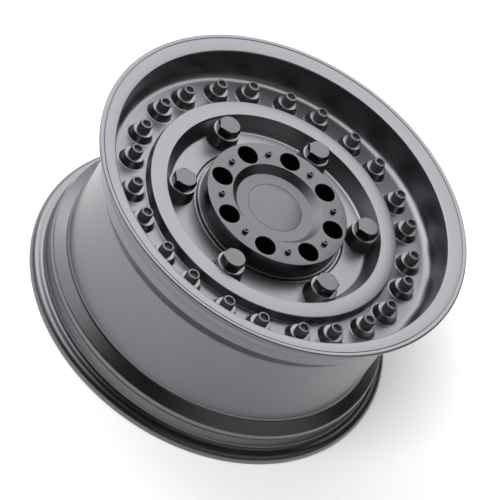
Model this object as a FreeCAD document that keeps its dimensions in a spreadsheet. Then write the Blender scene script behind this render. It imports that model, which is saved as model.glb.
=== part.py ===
import FreeCAD, Part
import math
import os

import Sketcher

# Cast eight-lug truck wheel, 20 x 9.5 inches, lying on its inboard flange.
# Millimetres and degrees. The origin is the centre of the hub's mounting face,
# and +Z is the wheel axis, pointing to the outboard face.
# Depths are measured inboard from the plane of the outboard flange's largest radius.
SIZES = [
    # Rim
    ("flange_radius", 274.5, "outside radius of both flanges"),
    ("flange_height", 17.3, "flange above the bead seat"),
    ("bead_width", 241.3, "between the flange faces that hold the tyre"),
    ("flange_curl", 10.8, "flange face to the plane of its largest radius"),
    ("curl_round", 9.5, "round of the flange over the tyre"),
    ("root_bevel", 4.0, "bevel between flange face and bead seat"),
    ("wheel_offset", 12.0, "mounting face outboard of the rim's middle"),
    ("seat_width", 20.0, "bead seat along the axis"),
    ("seat_angle", 5.0, "taper of the bead seat"),
    ("hump_height", 0.9, "safety hump above the seat's end"),
    ("hump_run", 2.5, "flank and crest of the hump along the axis"),
    ("ledge_drop", 4.2, "outboard ledge below the bead seat"),
    ("ledge_depth", 52.4, "end of that ledge"),
    ("well_drop", 20.5, "drop centre below the bead seat"),
    ("well_depth", 80.0, "outboard end of the drop centre"),
    ("well_end", 50.9, "inboard end of the drop centre above the rear flange plane"),
    ("ramp_drop", 2.3, "top of the inboard ramp below the bead seat"),
    ("ramp_end", 40.4, "top of that ramp above the rear flange plane"),
    ("rim_wall", 7.0, "wall of the drop centre"),
    ("ramp_wall", 4.2, "inboard ramp's wall along the axis"),
    ("seat_wall", 8.5, "wall under the inboard bead seat"),
    ("foot_height", 3.0, "resting face below the rear flange plane"),
    ("foot_width", 12.5, "resting face of the inboard flange"),
    ("mouth_height", 7.0, "inboard mouth's bevel above the rear flange plane"),
    # Outboard lip and dish
    ("lip_crown", 1.4, "lip's outer edge above the flange plane"),
    ("lip_bevel", 1.2, "bevel of the flanges' outer edges"),
    ("lip_width", 26.15, "lip from its outer edge to its inner one"),
    ("mouth_depth", 6.6, "inner edge of the lip below the flange plane"),
    ("mouth_bevel", 1.5, "bevel of the lip's inner edge"),
    ("dish_draft", 4.35, "dish wall narrower at the floor than at the lip"),
    ("dish_depth", 55.0, "dish floor"),
    ("dish_round", 13.0, "round between dish wall and floor"),
    # Raised ring, channel and hub
    ("channel_share", 0.298, "channel's part of the way from the hub to the dish wall"),
    ("ring_slope", 12.6, "ring's inner wall across its slope"),
    ("ring_width", 23.8, "top of the raised ring"),
    ("ring_depth", 39.5, "top of the raised ring"),
    ("ring_draft", 0.6, "ring's outer wall wider at the floor"),
    ("channel_depth", 63.5, "channel floor at the ring"),
    ("channel_inner", 113.5, "channel floor at the hub"),
    ("channel_lip", 60.5, "channel floor at the hub"),
    ("groove_outer", 112.6, "outside of the groove round the hub"),
    ("groove_depth", 66.0, "bottom of that groove"),
    ("hub_face_radius", 107.8, "hub's front face, which carries the cap"),
    ("hub_face_depth", 59.0, "that face"),
    ("back_depth", 69.0, "back of the disc under the dish"),
    ("back_step_outer", 165.0, "outer end of the step in the back"),
    ("back_step_inner", 152.0, "inner end of that step"),
    ("hub_back_depth", 77.0, "back of the disc under the channel"),
    ("back_bevel", 6.0, "bevels at the back of the disc"),
    ("hub_radius", 114.0, "hub at the back of the disc"),
    ("pad_radius", 108.0, "mounting face"),
    ("bore_radius", 62.55, "centre bore"),
    ("bore_length", 30.0, "centre bore along the axis"),
    ("relief_radius", 66.0, "opening in front of the centre bore"),
    # Lug holes and the pockets between them
    ("lug_count", 8, "lug holes"),
    ("lug_circle", 85.0, "radius of the lug circle"),
    ("stud_radius", 7.75, "hole for the wheel stud"),
    ("stud_length", 10.0, "that hole below its conical seat"),
    ("lug_angle", 30.0, "half angle of the nut's conical seat"),
    ("lug_well_radius", 15.0, "well for the nut and its socket"),
    ("pocket_radius", 10.0, "lightening pocket in the mounting face"),
    ("pocket_depth", 24.0, "lightening pocket"),
    # Valve hole
    ("valve_radius", 5.75, "hole for the tyre valve"),
    ("valve_angle", 195.0, "round from the X axis"),
    ("valve_depth", 45.5, "middle of the hole"),
    # Hex bolts in the channel
    ("hex_count", 6, "hex bolts"),
    ("hex_gap", 24.0, "their circle inside the ring's inner edge"),
    ("hex_flats", 30.0, "across flats"),
    ("hex_head", 13.0, "head height"),
    ("hex_chamfer", 1.6, "chamfer round the head's top"),
    ("hex_shank", 10.0, "shank radius"),
    ("hex_grip", 18.0, "shank length"),
    ("hex_boss_depth", 42.0, "top of the boss"),
    ("hex_boss_radius", 19.5, "top of the boss"),
    ("hex_boss_draft", 9.9, "taper of the boss"),
    # Socket screws round the dish
    ("pair_count", 12, "pairs of socket screws"),
    ("pair_phase", 15.0, "middle of the first pair, round from a hex bolt"),
    ("pair_half", 7.0, "screw from the middle of its pair"),
    ("screw_gap", 24.3, "their circle outside the raised ring"),
    ("screw_head_radius", 9.0, "head"),
    ("screw_head", 13.0, "head height"),
    ("screw_chamfer", 1.4, "chamfer round the head's top"),
    ("screw_chamfer_drop", 2.6, "that chamfer along the axis"),
    ("screw_socket", 10.0, "hex socket across flats"),
    ("screw_socket_depth", 6.0, "hex socket"),
    ("screw_shank", 6.0, "shank radius"),
    ("screw_grip", 18.0, "shank length"),
    ("screw_boss_depth", 43.0, "top of the boss"),
    ("screw_boss_radius", 14.3, "top of the boss"),
    ("screw_boss_draft", 14.0, "taper of the boss"),
    ("boss_sink", 5.0, "bosses run into the disc"),
    # Hub cap, its emblem disc and its set screws
    ("cap_radius", 105.0, "cap"),
    ("cap_top_depth", 31.7, "cap's front face"),
    ("cap_hole_radius", 15.3, "hole over each lug well"),
    ("recess_radius", 67.5, "cap's recess at the front face"),
    ("recess_floor", 57.8, "floor radius of the recess"),
    ("recess_depth", 10.1, "recess"),
    ("cap_floor", 6.0, "thickness under the recess"),
    ("spigot_length", 8.0, "cap's spigot in the hub"),
    ("spigot_wall", 4.0, "cap's spigot"),
    ("disc_radius", 40.2, "emblem disc"),
    ("disc_thickness", 1.5, "emblem disc"),
    ("pin_radius", 4.0, "cap set screw"),
    ("pin_rise", 4.7, "set screw above the cap's front face"),
    ("pin_grip", 12.0, "set screw in the hub"),
    ("pin_socket", 4.0, "hex socket across flats"),
    ("pin_socket_depth", 4.0, "hex socket"),
    # Fits
    ("fit_gap", 0.3, "clearance of spigots and emblem disc all round"),
    ("thread_gap", 0.2, "clearance of shanks in their holes"),
    ("hole_spare", 2.0, "hole deeper than its screw"),
]

# Heights of the two flange planes, and the bead seat's radius at the flange
FRONT = "(sizes.bead_width / 2 + sizes.flange_curl - sizes.wheel_offset)"
REAR = "(-sizes.bead_width / 2 - sizes.flange_curl - sizes.wheel_offset)"
FRONT_FACE = "(sizes.bead_width / 2 - sizes.wheel_offset)"
REAR_FACE = "(-sizes.bead_width / 2 - sizes.wheel_offset)"
BEAD = "(sizes.flange_radius - sizes.flange_height)"
SEAT_END = BEAD[:-1] + " - sizes.seat_width * tan(sizes.seat_angle * 1 deg))"
HUMP = "(" + SEAT_END + " + sizes.hump_height)"
WELL = "(" + BEAD + " - sizes.well_drop)"
LEDGE = "(" + BEAD + " - sizes.ledge_drop)"
RAMP = "(" + BEAD + " - sizes.ramp_drop)"
BARREL_INSIDE = "(" + WELL + " - sizes.rim_wall)"

# Radii of the outboard face, worked out inwards from the lip and outwards from the hub
MOUTH = "(sizes.flange_radius - sizes.lip_width)"
DISH = "(" + MOUTH + " - sizes.dish_draft)"
CHANNEL = f"(sizes.hub_face_radius + ({DISH} - sizes.hub_face_radius) * sizes.channel_share)"
RING_INNER = "(" + CHANNEL + " + sizes.ring_slope)"
RING_OUTER = "(" + RING_INNER + " + sizes.ring_width)"
HEX_CIRCLE = "(" + RING_INNER + " - sizes.hex_gap)"
SCREW_CIRCLE = "(" + RING_OUTER + " + sizes.screw_gap)"
CAP_SEAT = "(" + FRONT + " - sizes.hub_face_depth)"
CAP_TOP = "(" + FRONT + " - sizes.cap_top_depth)"
SPIGOT = "(sizes.relief_radius - sizes.fit_gap)"
HALF_LUG_STEP = "(180 deg / sizes.lug_count)"

# How far each hex head ended up turned from the wheel's radius when it was tightened,
# and by how much each small screw's socket is turned against the one before it
HEX_TURNS = [30, 37, -8, -2, 32, 30]
SCREW_TURN = 23


def below(depth):
    """Height of a named depth under the outboard flange plane."""
    return f"{FRONT} - sizes.{depth}"


def make_sheet(doc):
    """The driving dimensions, one alias a row."""
    sheet = doc.addObject("Spreadsheet::Sheet", "sizes")
    for row, (alias, value, meaning) in enumerate(SIZES, start=1):
        sheet.set(f"A{row}", alias)
        sheet.set(f"B{row}", str(value))
        sheet.set(f"C{row}", meaning)
        sheet.setAlias(f"B{row}", alias)
    doc.recompute()
    return sheet


def make_body(doc, label):
    """An empty body, whose label names its file."""
    body = doc.addObject("PartDesign::Body", label)
    body.Label = label
    body.Placement = FreeCAD.Placement()
    return body


def origin_feature(body, role):
    """One of the body's own origin planes or axes."""
    return next(item for item in body.Origin.OriginFeatures if item.Role == role)


def make_sketch(body, name, plane, height=None):
    """A sketch on an origin plane, or at a height above it."""
    sketch = body.newObject("Sketcher::SketchObject", name)
    sketch.AttachmentSupport = [(origin_feature(body, plane), "")]
    sketch.MapMode = "FlatFace"
    if height:
        sketch.setExpression("AttachmentOffset.Base.z", height)
    return sketch


def place_point(sketch, index, point, across, up):
    """Hold one point of the sketch at the named distances."""
    for kind, distance in (("DistanceX", across), ("DistanceY", up)):
        held = sketch.addConstraint(Sketcher.Constraint(kind, index, point, 1.0))
        sketch.setExpression(f"Constraints[{held}]", distance)


def draw_outline(sketch, corners):
    """A closed outline through named corners, each held at its radius and height."""
    count = len(corners)
    turn = 2 * math.pi / count
    start = [FreeCAD.Vector(100 * math.cos(i * turn), 100 * math.sin(i * turn), 0) for i in range(count)]
    lines = [Part.LineSegment(start[i], start[(i + 1) % count]) for i in range(count)]
    first = sketch.addGeometry(lines, False)[0]
    for i in range(count):
        follower = first + (i + 1) % count
        sketch.addConstraint(Sketcher.Constraint("Coincident", first + i, 2, follower, 1))
    for i, (across, up) in enumerate(corners.values()):
        place_point(sketch, first + i, 1, across, up)
    sketch.Document.recompute()


def draw_circle(sketch, radius, across, up):
    """A circle of a named radius at the named place."""
    circle = Part.Circle(FreeCAD.Vector(1, 1, 0), FreeCAD.Vector(0, 0, 1), 1)
    index = sketch.addGeometry(circle, False)
    size = sketch.addConstraint(Sketcher.Constraint("Radius", index, 1.0))
    sketch.setExpression(f"Constraints[{size}]", radius)
    place_point(sketch, index, 3, across, up)


def revolve(body, name, corners):
    """Turn an outline of radius and height about the wheel axis."""
    sketch = make_sketch(body, name + "_section", "XZ_Plane")
    draw_outline(sketch, corners)
    turned = body.newObject("PartDesign::Revolution", name)
    turned.Profile = sketch
    turned.ReferenceAxis = (sketch, ["V_Axis"])
    turned.Angle = 360
    sketch.Document.recompute()
    return turned, sketch


def corner_edges(feature, sketch, corners, names):
    """The round edges that the named corners of the section leave on the solid."""
    order = list(corners)
    found = []
    for name in names:
        point = sketch.Geometry[order.index(name)].StartPoint
        for number, edge in enumerate(feature.Shape.Edges, start=1):
            curve = edge.Curve
            if not isinstance(curve, Part.Circle):
                continue
            same_radius = math.isclose(curve.Radius, point.x, abs_tol=1e-4)
            if same_radius and math.isclose(curve.Center.z, point.y, abs_tol=1e-4):
                found.append(f"Edge{number}")
    return found


def ease_corners(body, feature, sketch, corners, names, size):
    """Round or bevel the named corners, as the size's own name says."""
    rounded = size.endswith("_round")
    kind = "Fillet" if rounded else "Chamfer"
    eased = body.newObject("PartDesign::" + kind, size + "_edges")
    eased.Base = (feature, corner_edges(feature, sketch, corners, names))
    eased.setExpression("Radius" if rounded else "Size", "sizes." + size)
    body.Document.recompute()
    return eased


def pad(body, name, sketch, length, draft=None):
    """Raise a sketch along its normal, narrowing by a draft angle."""
    raised = body.newObject("PartDesign::Pad", name)
    raised.Profile = sketch
    raised.setExpression("Length", length)
    if draft:
        raised.setExpression("TaperAngle", f"-sizes.{draft}")
    body.Document.recompute()
    return raised


def pocket(body, name, sketch, length, forward=False):
    """Cut a sketch against its normal, or along it."""
    before = body.Shape.Volume
    cut = body.newObject("PartDesign::Pocket", name)
    cut.Profile = sketch
    cut.setExpression("Length", length)
    cut.Reversed = forward
    body.Document.recompute()
    if cut.Shape.Volume >= before:
        raise RuntimeError(f"{name} cuts nothing")
    return cut


def repeat(body, feature, count):
    """Repeat a feature evenly round the wheel axis."""
    pattern = body.newObject("PartDesign::PolarPattern", feature.Name + "_pattern")
    pattern.Originals = [feature]
    pattern.Axis = (origin_feature(body, "Z_Axis"), [""])
    pattern.Angle = 360
    pattern.setExpression("Occurrences", "sizes." + count)
    body.Tip = pattern
    body.Document.recompute()
    return pattern


def screw_places():
    """Where the two screws of the first pair stand."""
    for sign in ("-", "+"):
        angle = f"((sizes.pair_phase {sign} sizes.pair_half) * 1 deg)"
        yield f"{SCREW_CIRCLE} * cos{angle}", f"{SCREW_CIRCLE} * sin{angle}"


def draw_hexagon(sketch, flats, across, up):
    """A hexagon of named width across flats, with two corners along the sketch's X."""
    point = f"sizes.{flats} / sqrt(3)"
    corners = {}
    for i in range(6):
        x = f"{across} + {point} * cos({60 * i} deg)"
        y = f"{up} + {point} * sin({60 * i} deg)"
        corners[f"corner_{i}"] = (x, y)
    draw_outline(sketch, corners)


def casting_section():
    """The wheel's half section, round from the lip's outer edge over the tyre side."""
    return {
        "lip_edge": ("sizes.flange_radius", FRONT + " + sizes.lip_crown"),
        "front_curl": ("sizes.flange_radius", FRONT_FACE),
        "front_root": (BEAD, FRONT_FACE),
        "front_seat": (SEAT_END, FRONT_FACE + " - sizes.seat_width"),
        "front_hump": (HUMP, FRONT_FACE + " - sizes.seat_width - sizes.hump_run"),
        "front_crest": (HUMP, FRONT_FACE + " - sizes.seat_width - 2 * sizes.hump_run"),
        "front_ledge": (LEDGE, FRONT_FACE + " - sizes.seat_width - 3 * sizes.hump_run"),
        "ledge_end": (LEDGE, below("ledge_depth")),
        "well_front": (WELL, below("well_depth")),
        "well_rear": (WELL, REAR + " + sizes.well_end"),
        "ramp_top": (RAMP, REAR + " + sizes.ramp_end"),
        "rear_crest": (HUMP, REAR_FACE + " + sizes.seat_width + 2 * sizes.hump_run"),
        "rear_hump": (HUMP, REAR_FACE + " + sizes.seat_width + sizes.hump_run"),
        "rear_seat": (SEAT_END, REAR_FACE + " + sizes.seat_width"),
        "rear_root": (BEAD, REAR_FACE),
        "rear_curl": ("sizes.flange_radius", REAR_FACE),
        "rear_edge": ("sizes.flange_radius", REAR + " - sizes.foot_height"),
        "foot_inner": ("sizes.flange_radius - sizes.foot_width", REAR + " - sizes.foot_height"),
        "mouth": (BEAD + " - sizes.seat_wall", REAR + " + sizes.mouth_height"),
        "inner_ramp_low": (
            RAMP + " - sizes.rim_wall",
            REAR + " + sizes.ramp_end - sizes.ramp_wall",
        ),
        "inner_ramp_high": (BARREL_INSIDE, REAR + " + sizes.well_end - sizes.ramp_wall"),
        "back_outer": (BARREL_INSIDE, below("back_depth")),
        "back_step_outer": ("sizes.back_step_outer", below("back_depth")),
        "back_step_inner": ("sizes.back_step_inner", below("hub_back_depth")),
        "back_inner": ("sizes.hub_radius", below("hub_back_depth")),
        "pad_outer": ("sizes.pad_radius", "0"),
        "pad_inner": ("sizes.bore_radius", "0"),
        "bore_end": ("sizes.bore_radius", "sizes.bore_length"),
        "relief": ("sizes.relief_radius", "sizes.bore_length + sizes.relief_radius - sizes.bore_radius"),
        "seat_inner": ("sizes.relief_radius", CAP_SEAT),
        "seat_outer": ("sizes.hub_face_radius", CAP_SEAT),
        "groove_inner": ("sizes.hub_face_radius", below("groove_depth")),
        "groove_outer": ("sizes.groove_outer", below("groove_depth")),
        "channel_lip": ("sizes.channel_inner", below("channel_lip")),
        "channel_foot": (CHANNEL, below("channel_depth")),
        "ring_inner": (RING_INNER, below("ring_depth")),
        "ring_outer": (RING_OUTER, below("ring_depth")),
        "ring_foot": (RING_OUTER + " + sizes.ring_draft", below("dish_depth")),
        "dish_foot": (DISH, below("dish_depth")),
        "dish_mouth": (MOUTH, below("mouth_depth")),
    }


def add_bosses(body):
    """Tapered bosses for the hex bolts and the socket screws."""
    hex_start = below("channel_depth") + " - sizes.boss_sink"
    hex_rise = "sizes.channel_depth + sizes.boss_sink - sizes.hex_boss_depth"
    hex_foot = f"sizes.hex_boss_radius + ({hex_rise}) * tan(sizes.hex_boss_draft * 1 deg)"
    sketch = make_sketch(body, "hex_boss_foot", "XY_Plane", hex_start)
    draw_circle(sketch, hex_foot, HEX_CIRCLE, "0")
    repeat(body, pad(body, "hex_boss", sketch, hex_rise, "hex_boss_draft"), "hex_count")

    screw_start = below("dish_depth") + " - sizes.boss_sink"
    screw_rise = "sizes.dish_depth + sizes.boss_sink - sizes.screw_boss_depth"
    screw_foot = f"sizes.screw_boss_radius + ({screw_rise}) * tan(sizes.screw_boss_draft * 1 deg)"
    sketch = make_sketch(body, "screw_boss_foot", "XY_Plane", screw_start)
    for across, up in screw_places():
        draw_circle(sketch, screw_foot, across, up)
    repeat(body, pad(body, "screw_boss", sketch, screw_rise, "screw_boss_draft"), "pair_count")


def add_lug_holes(body):
    """Stud hole, conical nut seat and well, turned about each lug's own axis."""
    cone = "(sizes.lug_well_radius - sizes.stud_radius) / tan(sizes.lug_angle * 1 deg)"
    corners = {
        "axis_low": ("sizes.lug_circle", "-sizes.hole_spare"),
        "stud_low": ("sizes.lug_circle + sizes.stud_radius", "-sizes.hole_spare"),
        "stud_high": ("sizes.lug_circle + sizes.stud_radius", "sizes.stud_length"),
        "seat_high": ("sizes.lug_circle + sizes.lug_well_radius", "sizes.stud_length + " + cone),
        "well_high": ("sizes.lug_circle + sizes.lug_well_radius", CAP_SEAT + " + sizes.hole_spare"),
        "axis_high": ("sizes.lug_circle", CAP_SEAT + " + sizes.hole_spare"),
    }
    sketch = make_sketch(body, "lug_section", "XZ_Plane")
    draw_outline(sketch, corners)
    axis = Part.LineSegment(FreeCAD.Vector(1, 0, 0), FreeCAD.Vector(1, 1, 0))
    index = sketch.addGeometry(axis, True)
    place_point(sketch, index, 1, "sizes.lug_circle", "0")
    place_point(sketch, index, 2, "sizes.lug_circle", CAP_SEAT)
    body.Document.recompute()
    before = body.Shape.Volume
    hole = body.newObject("PartDesign::Groove", "lug_hole")
    hole.Profile = sketch
    hole.ReferenceAxis = (sketch, ["Axis0"])
    hole.Angle = 360
    body.Document.recompute()
    if hole.Shape.Volume >= before:
        raise RuntimeError("lug_hole cuts nothing")
    repeat(body, hole, "lug_count")


def add_back_pockets(body):
    """Round lightening pockets in the mounting face, midway between the lug holes."""
    sketch = make_sketch(body, "back_pocket_mouth", "XY_Plane")
    draw_pin_circle(sketch, "sizes.pocket_radius")
    hole = pocket(body, "back_pocket", sketch, "sizes.pocket_depth", forward=True)
    repeat(body, hole, "lug_count")


def add_screw_holes(body):
    """Blind holes for the hex bolts, the socket screws and the cap's set screws."""
    sketch = make_sketch(body, "hex_hole_mouth", "XY_Plane", below("hex_boss_depth"))
    draw_circle(sketch, "sizes.hex_shank + sizes.thread_gap", HEX_CIRCLE, "0")
    hole = pocket(body, "hex_hole", sketch, "sizes.hex_grip + sizes.hole_spare")
    repeat(body, hole, "hex_count")

    sketch = make_sketch(body, "screw_hole_mouth", "XY_Plane", below("screw_boss_depth"))
    for across, up in screw_places():
        draw_circle(sketch, "sizes.screw_shank + sizes.thread_gap", across, up)
    hole = pocket(body, "screw_hole", sketch, "sizes.screw_grip + sizes.hole_spare")
    repeat(body, hole, "pair_count")

    sketch = make_sketch(body, "pin_hole_mouth", "XY_Plane", CAP_SEAT)
    draw_pin_circle(sketch, "sizes.pin_radius + sizes.thread_gap")
    hole = pocket(body, "pin_hole", sketch, "sizes.pin_grip + sizes.hole_spare")
    repeat(body, hole, "lug_count")


def draw_pin_circle(sketch, radius):
    """A circle on the lug circle, midway between two lug holes."""
    across = f"sizes.lug_circle * cos{HALF_LUG_STEP}"
    up = f"sizes.lug_circle * sin{HALF_LUG_STEP}"
    draw_circle(sketch, radius, across, up)


def add_valve_hole(body):
    """Radial hole from the dish wall to the ledge beside the outboard hump."""
    sketch = body.newObject("Sketcher::SketchObject", "valve_mouth")
    sketch.AttachmentSupport = [(origin_feature(body, "YZ_Plane"), "")]
    sketch.MapMode = "FlatFace"
    sketch.AttachmentOffset = FreeCAD.Placement(
        FreeCAD.Vector(), FreeCAD.Rotation(FreeCAD.Vector(0, 1, 0), 1)
    )
    inside = "(" + DISH + " - sizes.dish_round)"
    sketch.setExpression("AttachmentOffset.Rotation.Angle", "sizes.valve_angle * 1 deg")
    sketch.setExpression("AttachmentOffset.Base.x", inside + " * sin(sizes.valve_angle * 1 deg)")
    sketch.setExpression("AttachmentOffset.Base.z", inside + " * cos(sizes.valve_angle * 1 deg)")
    draw_circle(sketch, "sizes.valve_radius", "0", below("valve_depth"))
    body.Document.recompute()
    pocket(body, "valve_hole", sketch, "sizes.flange_radius - " + inside, forward=True)


def make_casting(doc):
    """The one-piece casting: rim, dish, raised ring, channel, hub and bosses."""
    body = make_body(doc, "wheel_casting")
    corners = casting_section()
    solid, sketch = revolve(body, "rim_and_disc", corners)
    for names, size in (
        (["front_curl", "rear_curl"], "curl_round"),
        (["front_root", "rear_root"], "root_bevel"),
        (["lip_edge", "rear_edge"], "lip_bevel"),
        (["dish_mouth"], "mouth_bevel"),
        (["dish_foot"], "dish_round"),
        (["back_outer", "back_inner"], "back_bevel"),
    ):
        solid = ease_corners(body, solid, sketch, corners, names, size)
    add_bosses(body)
    add_lug_holes(body)
    add_screw_holes(body)
    add_back_pockets(body)
    add_valve_hole(body)
    return body


def make_hub_cap(doc):
    """The cap over the hub, with a hole for each lug and a seat for the emblem disc."""
    body = make_body(doc, "hub_cap")
    seat = "sizes.disc_radius + sizes.fit_gap"
    recess = CAP_TOP + " - sizes.recess_depth"
    inside = SPIGOT + " - sizes.spigot_wall"
    revolve(body, "cap", {
        "disc_seat_middle": ("0", recess + " - sizes.disc_thickness"),
        "disc_seat_foot": (seat, recess + " - sizes.disc_thickness"),
        "disc_seat_edge": (seat, recess),
        "recess_foot": ("sizes.recess_floor", recess),
        "recess_edge": ("sizes.recess_radius", CAP_TOP),
        "cap_edge": ("sizes.cap_radius", CAP_TOP),
        "cap_foot": ("sizes.cap_radius", CAP_SEAT),
        "spigot_root": (SPIGOT, CAP_SEAT),
        "spigot_end": (SPIGOT, CAP_SEAT + " - sizes.spigot_length"),
        "spigot_mouth": (inside, CAP_SEAT + " - sizes.spigot_length"),
        "spigot_roof": (inside, recess + " - sizes.cap_floor"),
        "spigot_middle": ("0", recess + " - sizes.cap_floor"),
    })
    sketch = make_sketch(body, "cap_hole_mouth", "XY_Plane", CAP_TOP)
    draw_circle(sketch, "sizes.cap_hole_radius", "sizes.lug_circle", "0")
    draw_pin_circle(sketch, "sizes.pin_radius + sizes.thread_gap")
    depth = "sizes.hub_face_depth - sizes.cap_top_depth + sizes.hole_spare"
    repeat(body, pocket(body, "cap_hole", sketch, depth), "lug_count")
    return body


def make_emblem_disc(doc):
    """The plain disc let into the cap's recess."""
    body = make_body(doc, "emblem_disc")
    seat = CAP_TOP + " - sizes.recess_depth - sizes.disc_thickness"
    sketch = make_sketch(body, "disc_outline", "XY_Plane", seat)
    draw_circle(sketch, "sizes.disc_radius", "0", "0")
    pad(body, "disc", sketch, "sizes.disc_thickness")
    return body


def make_hex_bolt(doc):
    """One hex bolt on its own axis: a turned blank whose flats are then cut."""
    body = make_body(doc, "hex_bolt")
    seat = below("hex_boss_depth")
    top = f"{seat} + sizes.hex_head"
    point = "sizes.hex_flats / sqrt(3)"
    crown = "sizes.hex_flats / 2 - sizes.hex_chamfer / 2"
    slope = f"({point} - ({crown})) * tan(30 deg)"
    revolve(body, "hex_blank", {
        "crown_middle": ("0", top),
        "crown_edge": (crown, top),
        "point_edge": (point, f"{top} - {slope}"),
        "point_foot": (point, seat),
        "shank_root": ("sizes.hex_shank", seat),
        "shank_end": ("sizes.hex_shank", f"{seat} - sizes.hex_grip"),
        "shank_middle": ("0", f"{seat} - sizes.hex_grip"),
    })
    sketch = make_sketch(body, "hex_flat_outline", "XY_Plane", top)
    draw_hexagon(sketch, "hex_flats", "0", "0")
    draw_circle(sketch, "sizes.hex_flats", "0", "0")
    pocket(body, "hex_flats_cut", sketch, "sizes.hex_head")
    return body


def make_socket_screw(doc):
    """One socket-head screw on its own axis."""
    body = make_body(doc, "socket_screw")
    seat = below("screw_boss_depth")
    top = f"{seat} + sizes.screw_head"
    revolve(body, "screw_blank", {
        "crown_middle": ("0", top),
        "crown_edge": ("sizes.screw_head_radius - sizes.screw_chamfer", top),
        "head_edge": ("sizes.screw_head_radius", f"{top} - sizes.screw_chamfer_drop"),
        "head_foot": ("sizes.screw_head_radius", seat),
        "shank_root": ("sizes.screw_shank", seat),
        "shank_end": ("sizes.screw_shank", f"{seat} - sizes.screw_grip"),
        "shank_middle": ("0", f"{seat} - sizes.screw_grip"),
    })
    sketch = make_sketch(body, "screw_socket_outline", "XY_Plane", top)
    draw_hexagon(sketch, "screw_socket", "0", "0")
    pocket(body, "screw_socket_cut", sketch, "sizes.screw_socket_depth")
    return body


def make_set_screw(doc):
    """One of the cap's set screws on its own axis."""
    body = make_body(doc, "set_screw")
    top = CAP_TOP + " + sizes.pin_rise"
    foot = "(" + CAP_SEAT + " - sizes.pin_grip)"
    sketch = make_sketch(body, "pin_outline", "XY_Plane", foot)
    draw_circle(sketch, "sizes.pin_radius", "0", "0")
    pad(body, "pin", sketch, f"{top} - {foot}")
    sketch = make_sketch(body, "pin_socket_outline", "XY_Plane", top)
    draw_hexagon(sketch, "pin_socket", "0", "0")
    pocket(body, "pin_socket_cut", sketch, "sizes.pin_socket_depth")
    return body


def set_round(doc, label, master, holes, count, turns):
    """Copies of one fastener in the casting's holes, each turned on its own axis."""
    axis = FreeCAD.Vector(0, 0, 1)
    step = 360 / count
    places = []
    for i in range(int(count)):
        round_by = FreeCAD.Rotation(axis, i * step)
        places += [round_by.multVec(hole.Center) for hole in holes.Geometry]
    copies = []
    for place, turn in zip(places, turns):
        angle = math.degrees(math.atan2(place.y, place.x))
        copy = master.Shape.copy()
        copy.Placement = FreeCAD.Placement(place, FreeCAD.Rotation(axis, angle + turn))
        copies.append(copy)
    group = doc.addObject("Part::Feature", label)
    group.Label = label
    group.Shape = Part.makeCompound(copies)
    group.Placement = FreeCAD.Placement()
    return group


def make_fasteners(doc, sheet):
    """The three groups of identical fasteners, each in the holes sketched for it."""
    hex_holes = doc.getObject("hex_hole_mouth")
    screw_holes = doc.getObject("screw_hole_mouth")
    pin_holes = doc.getObject("pin_hole_mouth")
    screw_turns = [i * SCREW_TURN for i in range(2 * int(sheet.pair_count))]
    pin_turns = [i * SCREW_TURN for i in range(int(sheet.lug_count))]
    hex_bolt = make_hex_bolt(doc)
    socket_screw = make_socket_screw(doc)
    set_screw = make_set_screw(doc)
    return [
        set_round(doc, "hex_bolts", hex_bolt, hex_holes, sheet.hex_count, HEX_TURNS),
        set_round(doc, "perimeter_screws", socket_screw, screw_holes, sheet.pair_count, screw_turns),
        set_round(doc, "cap_screws", set_screw, pin_holes, sheet.lug_count, pin_turns),
    ]


def make_document():
    """Build every sub-part and return their bodies."""
    doc = FreeCAD.newDocument("alloy_wheel")
    sheet = make_sheet(doc)
    parts = [make_casting(doc), make_hub_cap(doc), make_emblem_disc(doc)]
    return doc, parts + make_fasteners(doc, sheet)


def write_parts(doc, parts):
    """Check every object, then write one STEP file for each sub-part."""
    doc.recompute()
    for item in doc.Objects:
        if "Invalid" in item.State or "Error" in item.State:
            raise RuntimeError(f"{item.Name} failed: {item.State}")
    for part in parts:
        if part.Shape.isNull() or not part.Shape.isValid():
            raise RuntimeError(f"{part.Label} has no valid shape")
    os.makedirs("parts", exist_ok=True)
    for part in parts:
        part.Shape.exportStep(f"parts/{part.Label}.step")
        print(part.Label, len(part.Shape.Solids), "solids", round(part.Shape.Volume / 1000, 1), "cm3")


document, sub_parts = make_document()
write_parts(document, sub_parts)
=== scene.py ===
import math

import bmesh
import bpy
from mathutils import Matrix, Vector


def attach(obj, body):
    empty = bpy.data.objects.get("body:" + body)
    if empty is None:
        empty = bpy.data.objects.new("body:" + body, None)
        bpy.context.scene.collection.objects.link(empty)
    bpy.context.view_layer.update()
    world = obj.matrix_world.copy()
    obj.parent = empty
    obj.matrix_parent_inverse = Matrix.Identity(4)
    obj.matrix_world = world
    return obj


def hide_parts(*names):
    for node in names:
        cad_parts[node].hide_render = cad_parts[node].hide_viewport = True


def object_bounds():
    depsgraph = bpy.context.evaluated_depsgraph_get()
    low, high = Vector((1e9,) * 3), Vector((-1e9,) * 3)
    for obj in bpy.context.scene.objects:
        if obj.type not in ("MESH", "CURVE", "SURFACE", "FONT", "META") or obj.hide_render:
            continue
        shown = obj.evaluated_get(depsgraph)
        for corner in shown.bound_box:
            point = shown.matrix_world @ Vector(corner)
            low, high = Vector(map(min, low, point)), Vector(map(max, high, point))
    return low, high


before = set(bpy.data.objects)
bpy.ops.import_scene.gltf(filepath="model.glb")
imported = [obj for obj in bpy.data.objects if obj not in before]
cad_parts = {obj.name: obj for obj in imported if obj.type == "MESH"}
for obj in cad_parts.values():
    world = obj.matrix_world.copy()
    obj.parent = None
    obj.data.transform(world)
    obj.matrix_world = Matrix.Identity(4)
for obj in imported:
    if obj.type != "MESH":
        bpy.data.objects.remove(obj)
CAD_BOX = [list(corner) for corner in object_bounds()]

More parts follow.
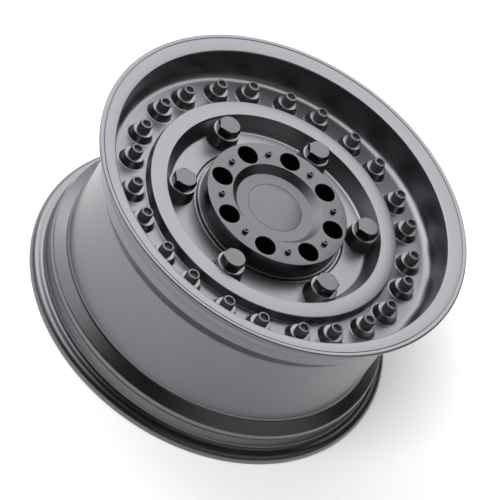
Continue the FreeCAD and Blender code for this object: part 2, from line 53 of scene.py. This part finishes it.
bl_info = {
    "name": "Dished truck wheel",
    "version": (1, 0, 0),
    "blender": (4, 5, 0),
    "location": "3D View > Sidebar > Wheel",
    "description": "Dresses the eight-lug alloy wheel and sets it on a studio floor",
    "category": "Object",
}

# The wheel's sizes are in millimetres and degrees, and the studio's in metres and degrees.
# Both are in the wheel's frame: the axis is Z, and Z 0 is the hub's mounting face.
MM = 0.001
# Direction of the side away from the camera, round from X
FAR_SIDE = -58

# A coat's patches of tone and gloss, how far they drift, and the depth of its peel
CLOUD_SIZE = 90
TONE_DRIFT = 0.06
GLOSS_DRIFT = 0.03
PEEL_DEPTH = 0.1


def from_hex(code):
    """A colour written as an sRGB hex value, as linear values."""
    parts = [int(code[i:i + 2], 16) / 255 for i in (0, 2, 4)]
    return [c / 12.92 if c <= 0.04045 else ((c + 0.055) / 1.055) ** 2.4 for c in parts] + [1.0]


class WheelSizes(bpy.types.PropertyGroup):
    """Sizes of the wheel that a user would change."""

    turn_steps: bpy.props.IntProperty(
        name="Turn steps", description="Flats round the casting's turned faces", default=288, min=48
    )
    lug_circle: bpy.props.FloatProperty(
        name="Lug circle", description="Radius of the lug circle", default=85 * MM, unit="LENGTH"
    )
    hex_circle: bpy.props.FloatProperty(
        name="Hex bolt circle", description="Radius of the hex bolts' circle",
        default=137 * MM, unit="LENGTH",
    )
    hex_flats: bpy.props.FloatProperty(
        name="Hex flats", description="Hex bolt heads across flats", default=30 * MM, unit="LENGTH"
    )
    screw_circle: bpy.props.FloatProperty(
        name="Screw circle", description="Radius of the socket screws' circle",
        default=209.1 * MM, unit="LENGTH",
    )
    screw_half_angle: bpy.props.FloatProperty(
        name="Screw half angle", description="Screw from the middle of its pair",
        default=math.radians(7), subtype="ANGLE",
    )
    knurl_ribs: bpy.props.IntProperty(
        name="Knurl ribs", description="Ribs round a socket screw's head", default=24, min=12
    )


class WheelFinishes(bpy.types.PropertyGroup):
    """Colours of the wheel's finishes."""

    paint: bpy.props.FloatVectorProperty(
        name="Gunmetal paint", description="Satin paint of the casting",
        subtype="COLOR", size=4, min=0, max=1, default=from_hex("7E7F82"),
    )
    cap_paint: bpy.props.FloatVectorProperty(
        name="Cap paint", description="Satin paint of the hub cap",
        subtype="COLOR", size=4, min=0, max=1, default=from_hex("5F6063"),
    )
    bolt_steel: bpy.props.FloatVectorProperty(
        name="Bolt steel", description="Plated hex bolts",
        subtype="COLOR", size=4, min=0, max=1, default=from_hex("5E5F61"),
    )
    screw_steel: bpy.props.FloatVectorProperty(
        name="Screw steel", description="Black oxide of the socket screws",
        subtype="COLOR", size=4, min=0, max=1, default=from_hex("68696C"),
    )


class WheelStage(bpy.types.PropertyGroup):
    """The studio that the wheel is shown in."""

    floor: bpy.props.FloatVectorProperty(
        name="Floor", description="Colour of the studio floor",
        subtype="COLOR", size=4, min=0, max=1, default=from_hex("F4F4F4"),
    )
    floor_glow: bpy.props.FloatProperty(
        name="Floor glow", description="How much of white the floor has without its lamps",
        default=0.2, min=0, max=1,
    )


def add_node(tree, kind, settings=None, inputs=None, links=None):
    """Add a shader node, set its properties and sockets, and link other nodes into it."""
    made = tree.nodes.new(kind)
    for name, value in (settings or {}).items():
        setattr(made, name, value)
    for name, value in (inputs or {}).items():
        made.inputs[name].default_value = value
    for name, source in (links or {}).items():
        tree.links.new(source, made.inputs[name])
    return made


def start_material(name):
    """A new, empty material, its node tree and the piece's own coordinates."""
    material = bpy.data.materials.new(name)
    material.use_nodes = True
    tree = material.node_tree
    tree.nodes.clear()
    place = add_node(tree, "ShaderNodeTexCoord").outputs["Object"]
    return material, tree, place


def noise(tree, place, size, detail):
    """A cloudy pattern whose patches have the given size, as a value from 0 to 1."""
    clouds = add_node(
        tree, "ShaderNodeTexNoise", None, {"Scale": 1 / size, "Detail": detail}, {"Vector": place}
    )
    return clouds.outputs["Fac"]


def coated_metal(name, colour, roughness, peel_mm, peel_strength, metallic=1.0):
    """Metal with a thin satin coat: its tone and gloss drift, and a fine peel breaks up highlights."""
    material, tree, place = start_material(name)
    cloud = noise(tree, place, CLOUD_SIZE * MM, 3.0)
    dark = [c * (1 - TONE_DRIFT) for c in colour[:3]] + [1.0]
    light = [min(1.0, c * (1 + TONE_DRIFT)) for c in colour[:3]] + [1.0]
    drift = add_node(
        tree, "ShaderNodeMix", {"data_type": "RGBA"}, {"A": dark, "B": light}, {"Factor": cloud}
    )
    gloss = add_node(
        tree, "ShaderNodeMapRange", None,
        {"To Min": roughness - GLOSS_DRIFT, "To Max": roughness + GLOSS_DRIFT}, {"Value": cloud},
    )
    peel = noise(tree, place, peel_mm * MM, 2.0)
    bump = add_node(
        tree, "ShaderNodeBump", None,
        {"Strength": peel_strength, "Distance": PEEL_DEPTH * MM}, {"Height": peel},
    )
    shader = add_node(
        tree, "ShaderNodeBsdfPrincipled", None, {"Metallic": metallic},
        {
            "Base Color": drift.outputs["Result"],
            "Roughness": gloss.outputs["Result"],
            "Normal": bump.outputs["Normal"],
        },
    )
    add_node(tree, "ShaderNodeOutputMaterial", None, None, {"Surface": shader.outputs["BSDF"]})
    return material


def deselect():
    """Leave nothing selected, in object mode."""
    if bpy.context.mode != "OBJECT":
        bpy.ops.object.mode_set(mode="OBJECT")
    bpy.ops.object.select_all(action="DESELECT")


def pick(piece):
    """Select one piece alone and make it the active one."""
    deselect()
    piece.select_set(True)
    bpy.context.view_layer.objects.active = piece


def open_mesh(piece):
    """Put one piece in edit mode with nothing selected, and return its mesh for selecting."""
    pick(piece)
    bpy.ops.object.mode_set(mode="EDIT")
    bpy.ops.mesh.select_mode(type="VERT")
    bpy.ops.mesh.select_all(action="DESELECT")
    return bmesh.from_edit_mesh(piece.data)


def turn_section(name, corners, steps, closed=True):
    """Draw a half section corner by corner from one point, and spin it about Z."""
    deselect()
    bpy.ops.mesh.primitive_plane_add(size=MM)
    piece = bpy.context.object
    piece.name = name
    bpy.ops.object.mode_set(mode="EDIT")
    bpy.ops.mesh.select_mode(type="VERT")
    bpy.ops.mesh.select_all(action="SELECT")
    bpy.ops.mesh.merge(type="CENTER")
    path = [Vector((corner[0] * MM, 0, corner[1] * MM)) for corner in corners]
    bpy.ops.transform.translate(value=path[0])
    if closed:
        path.append(path[0])
    for start, end in zip(path, path[1:]):
        bpy.ops.mesh.extrude_region_move(TRANSFORM_OT_translate={"value": end - start})
    bpy.ops.mesh.select_all(action="SELECT")
    bpy.ops.mesh.remove_doubles(threshold=0.01 * MM)
    bpy.ops.mesh.select_all(action="SELECT")
    bpy.ops.mesh.spin(steps=steps, angle=2 * math.pi, center=(0, 0, 0), axis=(0, 0, 1), use_auto_merge=True)
    bpy.ops.mesh.select_all(action="SELECT")
    bpy.ops.mesh.remove_doubles(threshold=0.005 * MM)
    bpy.ops.mesh.delete_loose()
    bpy.ops.mesh.select_all(action="SELECT")
    bpy.ops.mesh.normals_make_consistent(inside=False)
    for corner in corners:
        if len(corner) > 2:
            round_corner(piece, corner[0] * MM, corner[1] * MM, corner[2] * MM, corner[3])
    bpy.ops.object.mode_set(mode="OBJECT")
    return piece


def round_corner(piece, radius, height, rounding, segments):
    """Round the edge that one corner of the section left, by bevelling its loop."""
    mesh = bmesh.from_edit_mesh(piece.data)
    bpy.ops.mesh.select_mode(type="EDGE")
    bpy.ops.mesh.select_all(action="DESELECT")
    turn = 0.0
    for edge in mesh.edges:
        near = [
            abs(math.hypot(v.co.x, v.co.y) - radius) < 0.02 * MM and abs(v.co.z - height) < 0.02 * MM
            for v in edge.verts
        ]
        if all(near):
            edge.select = True
            turn = edge.calc_face_angle(0.0)
    if not turn:
        raise RuntimeError(f"{piece.name} has no corner at {radius:.4f}, {height:.4f}")
    mesh.select_flush_mode()
    bmesh.update_edit_mesh(piece.data)
    reach = rounding * math.tan(turn / 2)
    bpy.ops.mesh.bevel(
        offset=reach, offset_type="OFFSET", segments=segments,
        profile=0.5, affect="EDGES", clamp_overlap=False,
    )


def cut_away(piece, cutter, operation="DIFFERENCE"):
    """Cut one closed piece with another, which is used up."""
    pick(piece)
    cut = piece.modifiers.new("cut", "BOOLEAN")
    cut.operation = operation
    cut.solver = "MANIFOLD"
    cut.object = cutter
    before = len(piece.data.polygons)
    bpy.ops.object.modifier_apply(modifier="cut")
    if len(piece.data.polygons) in (0, before):
        raise RuntimeError(f"{cutter.name} left {piece.name} as it was")
    bpy.data.objects.remove(cutter)


def copies_round(master, circle, angles, turns=None):
    """Copy a piece modelled on the wheel axis to places on a circle, each with its own mesh and turn."""
    made = []
    turns = turns or [0] * len(angles)
    for number, (angle, turn) in enumerate(zip(angles, turns), start=1):
        copy = master.copy()
        copy.data = master.data.copy()
        copy.name = f"{master.name}_{number:02d}"
        out = Matrix.Rotation(angle, 4, "Z") @ Matrix.Translation((circle, 0, 0))
        copy.data.transform(out @ Matrix.Rotation(turn, 4, "Z"))
        bpy.context.scene.collection.objects.link(copy)
        made.append(copy)
    bpy.data.objects.remove(master)
    return made


def join(pieces):
    """Join pieces of one casting into the first."""
    deselect()
    for piece in pieces:
        piece.select_set(True)
    bpy.context.view_layer.objects.active = pieces[0]
    bpy.ops.object.join()
    return pieces[0]


def smooth(piece, angle=30):
    """Shade a piece smooth, with its sharp edges kept."""
    pick(piece)
    bpy.ops.object.shade_smooth_by_angle(angle=math.radians(angle))


def dress(piece, material, node):
    """Give a piece its material, and let it stand for its CAD node."""
    piece.data.materials.clear()
    piece.data.materials.append(material)
    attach(piece, "root")
    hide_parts(node)


def lug_angles():
    """The eight lugs, from the one on the X axis."""
    return [i * math.pi / 4 for i in range(8)]


def between_lugs():
    """Midway between the lugs."""
    return [(i + 0.5) * math.pi / 4 for i in range(8)]


def hex_angles():
    """The six hex bolts, from the one on the X axis."""
    return [i * math.pi / 3 for i in range(6)]


def screw_angles(sizes):
    """The socket screws, in pairs midway between the twelfths."""
    angles = []
    for i in range(12):
        middle = math.radians(15 + 30 * i)
        angles += [middle - sizes.screw_half_angle, middle + sizes.screw_half_angle]
    return angles


# Half section of the casting: radius, height, round and its segments
CASTING = [
    (274.5, 120.85, 2.5, 3),
    (274.5, 108.65, 9.5, 6),
    (257.2, 108.65, 6.5, 5),
    (255.45, 88.65),
    (256.35, 86.15, 2.0, 2),
    (256.35, 83.65, 2.0, 2),
    (253.0, 81.15, 2.0, 2),
    (253.0, 67.05, 6.0, 3),
    (236.7, 39.45, 16.0, 4),
    (236.7, -92.55, 6.0, 4),
    (254.9, -103.05, 3.0, 3),
    (256.35, -107.65),
    (256.35, -110.15, 2.0, 2),
    (255.45, -112.65, 2.0, 2),
    (257.2, -132.65, 6.5, 5),
    (274.5, -132.65, 9.5, 6),
    (274.5, -146.45, 2.5, 3),
    (262.0, -146.45, 2.0, 3),
    (248.7, -136.45, 3.0, 3),
    (247.9, -107.25, 6.0, 3),
    (229.7, -96.75, 6.0, 3),
    (229.7, 50.45, 10.0, 5),
    (165.0, 50.45, 8.0, 3),
    (152.0, 42.45, 8.0, 3),
    (114.0, 42.45, 8.0, 4),
    (108.0, 0.0, 1.0, 2),
    (62.55, 0.0, 1.0, 2),
    (62.55, 30.0),
    (66.0, 33.45),
    (66.0, 60.45, 0.8, 2),
    (107.8, 60.45, 1.0, 3),
    (107.8, 53.45, 1.0, 2),
    (112.6, 53.45, 1.0, 2),
    (113.5, 58.95, 1.4, 3),
    (148.4, 55.95, 4.0, 4),
    (161.0, 79.95, 1.2, 3),
    (184.8, 79.95, 1.2, 3),
    (185.4, 64.45, 2.0, 3),
    (244.0, 64.45, 13.0, 8),
    (248.35, 112.85, 3.0, 4),
    (266.9, 118.525, 0.3, 2),
    (267.1, 117.5),
    (268.1, 117.8),
    (268.3, 118.953, 0.3, 2),
]

# Boss of a socket screw: open below, with a small round at the dish floor
SCREW_BOSS = [
    (20.4, 64.47),
    (17.5, 64.47, 1.7, 5),
    (14.3, 76.45, 0.6, 3),
    (6.2, 76.45),
]

# Boss of a hex bolt: open below, where it runs into the channel
HEX_BOSS = [
    (24.6, 51.0),
    (19.5, 77.45, 0.5, 2),
    (10.2, 77.45),
]

# Top of a socket screw, and its hexagon socket
SCREW_TOP = 89.45
SCREW_SOCKET_FLATS = 11.4
SCREW_SOCKET_DEPTH = 6.0

# The knurl is on what stands out past this radius, and its grooves go in to this share
KNURL_FROM = 9.0
KNURL_GROOVE = 0.9

# Socket screw on its own axis
SCREW = [
    (0.0, SCREW_TOP),
    (8.3, SCREW_TOP, 0.8, 3),
    (8.5, 87.3),
    (8.5, 86.4),
    (9.1, 85.9),
    (9.3, 77.2),
    (8.7, 76.45),
    (6.0, 76.45),
    (6.0, 58.45),
    (0.0, 58.45),
]

# Blank of a hex bolt: the chamfered turning that its hexagon is cut from
HEX_BLANK = [
    (0.0, 90.45),
    (14.3, 90.45, 0.4, 2),
    (17.6, 88.5),
    (17.6, 77.45),
    (10.0, 77.45),
    (10.0, 59.45),
    (0.0, 59.45),
]

# Hub cap, with the disc's seat and the spigot
HUB_CAP = [
    (0.0, 76.15),
    (40.5, 76.15),
    (40.5, 77.65, 0.2, 1),
    (57.8, 77.65, 0.8, 3),
    (67.5, 87.75, 0.6, 3),
    (105.0, 87.75, 1.0, 3),
    (105.0, 60.45, 0.5, 2),
    (65.7, 60.45),
    (65.7, 52.45, 0.5, 2),
    (61.7, 52.45),
    (61.7, 71.65),
    (0.0, 71.65),
]

# Disc in the middle of the cap
EMBLEM_DISC = [
    (0.0, 77.65),
    (40.2, 77.65, 0.3, 2),
    (40.2, 76.15),
    (0.0, 76.15),
]

# Top of a set screw, and its hexagon socket
SET_SCREW_TOP = 92.45
SET_SCREW_SOCKET_FLATS = 4.0
SET_SCREW_SOCKET_DEPTH = 4.0

# Set screw of the cap on its own axis
SET_SCREW = [
    (0.0, SET_SCREW_TOP),
    (3.4, SET_SCREW_TOP, 0.2, 1),
    (4.0, 91.8),
    (4.0, 48.45),
    (0.0, 48.45),
]

# Lug hole: stud hole, conical nut seat and well, as a cutter
LUG_HOLE = [
    (0.0, -2.0),
    (7.75, -2.0),
    (7.75, 10.0),
    (15.0, 22.56),
    (15.0, 62.5),
    (0.0, 62.5),
]

# The cap's holes over the lugs, eased at the mouth
CAP_HOLE = [
    (0.0, 58.0),
    (15.3, 58.0),
    (15.3, 87.25),
    (16.3, 88.25),
    (16.3, 90.0),
    (0.0, 90.0),
]

# The cap's holes for its set screws
PIN_HOLE = [
    (0.0, 58.0),
    (4.2, 58.0),
    (4.2, 87.45),
    (4.8, 88.05),
    (4.8, 90.0),
    (0.0, 90.0),
]

# Pocket in the hub pad between two lugs, as a cutter
BACK_POCKET = [
    (0.0, -2.0),
    (10.0, -2.0),
    (10.0, 22.0),
    (8.0, 24.0),
    (0.0, 24.0),
]

# How far each hex head is turned from the wheel's radius
HEX_TURNS = [30, 37, -8, -2, 32, 30]
# Small round on the edges of a hex head
HEX_EASE = 0.35
# Hexagonal bar that the bolt's blank is cut with: its middle, its length and its turn
HEX_BAR_MIDDLE = 75
HEX_BAR_LENGTH = 60
HEX_BAR_TURN = 30
# Each screw's socket is turned this much further than the last one's
SOCKET_TURN = 23

# Valve hole through the rim: its radius, its direction round from X, and the drill's place and length
VALVE_RADIUS = 5.75
VALVE_DIRECTION = 195
VALVE_OUT = 250
VALVE_HEIGHT = 73.95
VALVE_LENGTH = 45


def valve_drill():
    """A round cutter through the rim where the valve goes."""
    deselect()
    bpy.ops.mesh.primitive_cylinder_add(
        vertices=32, radius=VALVE_RADIUS * MM, depth=VALVE_LENGTH * MM,
        location=(VALVE_OUT * MM, 0, VALVE_HEIGHT * MM), rotation=(0, math.pi / 2, 0),
    )
    drill = bpy.context.object
    bpy.ops.object.transform_apply(location=True, rotation=True, scale=True)
    drill.data.transform(Matrix.Rotation(math.radians(VALVE_DIRECTION), 4, "Z"))
    return drill


def hexagon_bar(flats, middle, length):
    """A hexagonal bar on the wheel axis, as a cutter."""
    deselect()
    bpy.ops.mesh.primitive_cylinder_add(
        vertices=6, radius=flats / math.sqrt(3), depth=length, location=(0, 0, middle)
    )
    bpy.ops.object.transform_apply(location=True, rotation=True, scale=True)
    return bpy.context.object


class WHEEL_OT_casting(bpy.types.Operator):
    """Turn the casting, cut its holes and add its bosses."""

    bl_idname = "wheel.casting"
    bl_label = "Casting"

    def execute(self, context):
        sizes = context.scene.wheel_sizes
        casting = turn_section("gunmetal_casting", CASTING, sizes.turn_steps)
        cut_away(casting, valve_drill())
        lug = turn_section("lug_cut", LUG_HOLE, 48)
        pocket = turn_section("pocket_cut", BACK_POCKET, 32)
        holes = copies_round(lug, sizes.lug_circle, lug_angles())
        holes += copies_round(pocket, sizes.lug_circle, between_lugs())
        cut_away(casting, join(holes))
        screw_boss = turn_section("screw_boss", SCREW_BOSS, 40, closed=False)
        hex_boss = turn_section("hex_boss", HEX_BOSS, 56, closed=False)
        bosses = copies_round(screw_boss, sizes.screw_circle, screw_angles(sizes))
        bosses += copies_round(hex_boss, sizes.hex_circle, hex_angles())
        casting = join([casting] + bosses)
        smooth(casting)
        # Gunmetal powder paint on cast aluminium: a soft, even grey with broad highlights
        paint = coated_metal("gunmetal_powder_paint", context.scene.wheel_finishes.paint, 0.33, 1.6, 0.12)
        dress(casting, paint, "wheel_casting")
        return {"FINISHED"}


class WHEEL_OT_hub_cap(bpy.types.Operator):
    """Turn the hub cap and cut its lug and set screw holes."""

    bl_idname = "wheel.hub_cap"
    bl_label = "Hub cap"

    def execute(self, context):
        sizes = context.scene.wheel_sizes
        cap = turn_section("hub_cap_shell", HUB_CAP, 160)
        lug_hole = turn_section("cap_hole_cut", CAP_HOLE, 64)
        pin_hole = turn_section("pin_hole_cut", PIN_HOLE, 24)
        holes = copies_round(lug_hole, sizes.lug_circle, lug_angles())
        holes += copies_round(pin_hole, sizes.lug_circle, between_lugs())
        cut_away(cap, join(holes))
        smooth(cap)
        # The same powder paint a shade darker, so that the cap stands off the casting
        paint = coated_metal("gunmetal_cap_paint", context.scene.wheel_finishes.cap_paint, 0.34, 1.2, 0.10)
        dress(cap, paint, "hub_cap")
        return {"FINISHED"}


class WHEEL_OT_emblem_disc(bpy.types.Operator):
    """Turn the plain disc in the cap's recess."""

    bl_idname = "wheel.emblem_disc"
    bl_label = "Emblem disc"

    def execute(self, context):
        disc = turn_section("plain_disc", EMBLEM_DISC, 128)
        smooth(disc)
        # Painted aluminium disc, a touch smoother than the cap, so its highlight is a little tighter
        paint = coated_metal("gunmetal_disc_paint", context.scene.wheel_finishes.cap_paint, 0.31, 1.0, 0.08)
        dress(disc, paint, "emblem_disc")
        return {"FINISHED"}


class WHEEL_OT_hex_bolts(bpy.types.Operator):
    """Make one hex bolt and set six of them in the channel."""

    bl_idname = "wheel.hex_bolts"
    bl_label = "Hex bolts"

    def execute(self, context):
        sizes = context.scene.wheel_sizes
        bolt = turn_section("hex_bolt", HEX_BLANK, 96)
        bar = hexagon_bar(sizes.hex_flats, HEX_BAR_MIDDLE * MM, HEX_BAR_LENGTH * MM)
        bar.data.transform(Matrix.Rotation(math.radians(HEX_BAR_TURN), 4, "Z"))
        cut_away(bolt, bar, "INTERSECT")
        pick(bolt)
        ease = bolt.modifiers.new("ease", "BEVEL")
        ease.width = HEX_EASE * MM
        ease.segments = 2
        ease.limit_method = "ANGLE"
        ease.angle_limit = math.radians(22)
        bpy.ops.object.modifier_apply(modifier="ease")
        smooth(bolt, 35)
        # Plated steel: smoother and glossier than the paint, so its flats mirror dark and light
        steel = coated_metal("plated_bolt_steel", context.scene.wheel_finishes.bolt_steel, 0.24, 0.8, 0.05)
        turns = [math.radians(turn) for turn in HEX_TURNS]
        for piece in copies_round(bolt, sizes.hex_circle, hex_angles(), turns):
            dress(piece, steel, "hex_bolts")
        return {"FINISHED"}


def hex_socket(piece, flats, top, depth):
    """Cut a hexagon socket into the top of a screw on its own axis."""
    cut_away(piece, hexagon_bar(flats * MM, top * MM, 2 * depth * MM))


class WHEEL_OT_perimeter_screws(bpy.types.Operator):
    """Make one knurled socket screw and set the pairs round the dish."""

    bl_idname = "wheel.perimeter_screws"
    bl_label = "Perimeter screws"

    def execute(self, context):
        sizes = context.scene.wheel_sizes
        screw = turn_section("socket_screw", SCREW, 2 * sizes.knurl_ribs)
        mesh = open_mesh(screw)
        step = math.pi / sizes.knurl_ribs
        for vertex in mesh.verts:
            if math.hypot(vertex.co.x, vertex.co.y) > KNURL_FROM * MM:
                vertex.select = round(math.atan2(vertex.co.y, vertex.co.x) / step) % 2 == 1
        mesh.select_flush_mode()
        bmesh.update_edit_mesh(screw.data)
        bpy.ops.transform.resize(value=(KNURL_GROOVE, KNURL_GROOVE, 1), center_override=(0, 0, 0))
        bpy.ops.object.mode_set(mode="OBJECT")
        hex_socket(screw, SCREW_SOCKET_FLATS, SCREW_TOP, SCREW_SOCKET_DEPTH)
        smooth(screw, 28)
        # Black oxide on steel: dark and partly matt, so that the ribs catch a little light from all sides
        oxide = context.scene.wheel_finishes.screw_steel
        steel = coated_metal("black_oxide_steel", oxide, 0.45, 0.6, 0.08, metallic=0.75)
        turns = [math.radians(SOCKET_TURN * i) for i in range(24)]
        for piece in copies_round(screw, sizes.screw_circle, screw_angles(sizes), turns):
            dress(piece, steel, "perimeter_screws")
        return {"FINISHED"}


class WHEEL_OT_cap_screws(bpy.types.Operator):
    """Make one set screw and set it between the lug holes."""

    bl_idname = "wheel.cap_screws"
    bl_label = "Cap screws"

    def execute(self, context):
        sizes = context.scene.wheel_sizes
        screw = turn_section("set_screw", SET_SCREW, 32)
        hex_socket(screw, SET_SCREW_SOCKET_FLATS, SET_SCREW_TOP, SET_SCREW_SOCKET_DEPTH)
        smooth(screw)
        # Black oxide on small screws: dark, with a metal shine on their ends
        oxide = context.scene.wheel_finishes.screw_steel
        steel = coated_metal("black_oxide_set_screw", oxide, 0.45, 0.6, 0.06)
        turns = [math.radians(SOCKET_TURN * i) for i in range(8)]
        for piece in copies_round(screw, sizes.lug_circle, between_lugs(), turns):
            dress(piece, steel, "cap_screws")
        return {"FINISHED"}


# Grain of the studio board, and how little it drifts in tone
BOARD_GRAIN = 30
BOARD_DRIFT = 0.995

# Height that the lamps are aimed at, and the dim room round them
LAMP_AIM = 0.03
ROOM_COLOUR = "1E1E20"

# Camera of the photo, fitted to the circles of the wheel: lens in millimetres, place in metres
CAMERA_LENS = 185.43
CAMERA_PLACE = (-1.37389, 2.18334, 2.4834)
CAMERA_TURN = (40.2124, -24.321, -121.9673)


def softbox(name, azimuth, elevation, distance, size, strength, glossy=True):
    """A rectangular lamp that faces the wheel. Its strength is its brightness to the eye."""
    data = bpy.data.lights.new(name, "AREA")
    data.shape = "RECTANGLE"
    data.size, data.size_y = size
    # An area lamp of this power looks as bright as an emitter of the given strength
    data.energy = strength * size[0] * size[1] * 4
    lamp = bpy.data.objects.new(name, data)
    bpy.context.scene.collection.objects.link(lamp)
    turn, rise = math.radians(azimuth), math.radians(elevation)
    aim = Vector((math.cos(turn) * math.cos(rise), math.sin(turn) * math.cos(rise), math.sin(rise)))
    lamp.location = Vector((0, 0, LAMP_AIM)) + aim * distance
    lamp.rotation_euler = aim.to_track_quat("Z", "Y").to_euler()
    lamp.visible_glossy = glossy


def studio_board(stage):
    """Matt painted studio board: even and pale, so that the shadow stays soft."""
    material, tree, place = start_material("matt_studio_board")
    colour = list(stage.floor)
    shade = add_node(
        tree, "ShaderNodeMix", {"data_type": "RGBA"},
        {"A": [c * BOARD_DRIFT for c in colour[:3]] + [1.0], "B": colour},
        {"Factor": noise(tree, place, BOARD_GRAIN * MM, 2.0)},
    )
    board = add_node(
        tree, "ShaderNodeBsdfDiffuse", None, {"Roughness": 0.5}, {"Color": shade.outputs["Result"]}
    )
    # The board glows a little to the eye and in the metal, so that it reads as white and keeps its shadow
    path = add_node(tree, "ShaderNodeLightPath").outputs
    seen = path["Is Camera Ray"]
    for ray in ("Is Glossy Ray", "Is Transmission Ray"):
        either = add_node(tree, "ShaderNodeMath", {"operation": "MAXIMUM"})
        tree.links.new(seen, either.inputs[0])
        tree.links.new(path[ray], either.inputs[1])
        seen = either.outputs["Value"]
    lift = add_node(tree, "ShaderNodeMapRange", None, {"To Max": stage.floor_glow}, {"Value": seen})
    glow = add_node(tree, "ShaderNodeEmission", None, None, {"Strength": lift.outputs["Result"]})
    both = add_node(tree, "ShaderNodeAddShader")
    tree.links.new(board.outputs["BSDF"], both.inputs[0])
    tree.links.new(glow.outputs["Emission"], both.inputs[1])
    add_node(tree, "ShaderNodeOutputMaterial", None, None, {"Surface": both.outputs["Shader"]})
    return material


class WHEEL_OT_stage(bpy.types.Operator):
    """Set the floor, the lamps, the world and the camera."""

    bl_idname = "wheel.stage"
    bl_label = "Stage"

    def execute(self, context):
        scene = context.scene
        deselect()
        bpy.ops.mesh.primitive_plane_add(size=30, location=(0, 0, CAD_BOX[0][2]))
        floor = bpy.context.object
        floor.name = "studio_floor"
        floor.data.materials.append(studio_board(scene.wheel_stage))

        # A wide softbox beyond the wheel with a low strip under it, a dimmer softbox on the left,
        # faint cards on the right and overhead, and a lamp by the camera that only the floor sees
        softbox("far_softbox", FAR_SIDE + 35, 47, distance=0.8, size=(1.4, 1.5), strength=1.82)
        softbox("low_strip", FAR_SIDE - 10, 12, distance=1.2, size=(0.6, 0.5), strength=0.6)
        softbox("left_softbox", FAR_SIDE + 88, 40, distance=2.4, size=(2.0, 2.0), strength=0.7)
        softbox("right_card", FAR_SIDE - 115, 40, distance=2.4, size=(3.6, 1.6), strength=0.2)
        softbox("top_card", FAR_SIDE + 10, 88, distance=2.0, size=(1.0, 0.9), strength=0.45)
        softbox("floor_fill", FAR_SIDE + 162, 57, distance=3.5, size=(1.6, 1.6), strength=7.8, glossy=False)

        world = bpy.data.worlds.new("studio_room")
        scene.world = world
        world.use_nodes = True
        room = world.node_tree.nodes["Background"]
        room.inputs["Color"].default_value = from_hex(ROOM_COLOUR)
        room.inputs["Strength"].default_value = 1.0

        eye = bpy.data.cameras.new("photo_camera")
        eye.lens = CAMERA_LENS
        eye.sensor_width = 36
        eye.clip_end = 100
        camera = bpy.data.objects.new("photo_camera", eye)
        scene.collection.objects.link(camera)
        camera.location = CAMERA_PLACE
        camera.rotation_euler = [math.radians(angle) for angle in CAMERA_TURN]
        scene.camera = camera
        scene.view_settings.view_transform = "Standard"
        return {"FINISHED"}


OPERATORS = (
    WHEEL_OT_casting,
    WHEEL_OT_hub_cap,
    WHEEL_OT_emblem_disc,
    WHEEL_OT_hex_bolts,
    WHEEL_OT_perimeter_screws,
    WHEEL_OT_cap_screws,
    WHEEL_OT_stage,
)


class WHEEL_PT_panel(bpy.types.Panel):
    """Lists the wheel's pieces and its stage."""

    bl_label = "Wheel"
    bl_idname = "WHEEL_PT_panel"
    bl_space_type = "VIEW_3D"
    bl_region_type = "UI"
    bl_category = "Wheel"

    def draw(self, context):
        for step in OPERATORS:
            self.layout.operator(step.bl_idname)
        for name in WheelSizes.__annotations__:
            self.layout.prop(context.scene.wheel_sizes, name)
        for name in WheelFinishes.__annotations__:
            self.layout.prop(context.scene.wheel_finishes, name)
        for name in WheelStage.__annotations__:
            self.layout.prop(context.scene.wheel_stage, name)


CLASSES = (WheelSizes, WheelFinishes, WheelStage) + OPERATORS + (WHEEL_PT_panel,)


def register():
    for made in CLASSES:
        bpy.utils.register_class(made)
    bpy.types.Scene.wheel_sizes = bpy.props.PointerProperty(type=WheelSizes)
    bpy.types.Scene.wheel_finishes = bpy.props.PointerProperty(type=WheelFinishes)
    bpy.types.Scene.wheel_stage = bpy.props.PointerProperty(type=WheelStage)


def unregister():
    del bpy.types.Scene.wheel_stage
    del bpy.types.Scene.wheel_finishes
    del bpy.types.Scene.wheel_sizes
    for made in reversed(CLASSES):
        bpy.utils.unregister_class(made)


def main():
    register()
    bpy.ops.wheel.casting()
    bpy.ops.wheel.hub_cap()
    bpy.ops.wheel.emblem_disc()
    bpy.ops.wheel.hex_bolts()
    bpy.ops.wheel.perimeter_screws()
    bpy.ops.wheel.cap_screws()
    bpy.ops.wheel.stage()
    deselect()


if __name__ == "__main__":
    main()
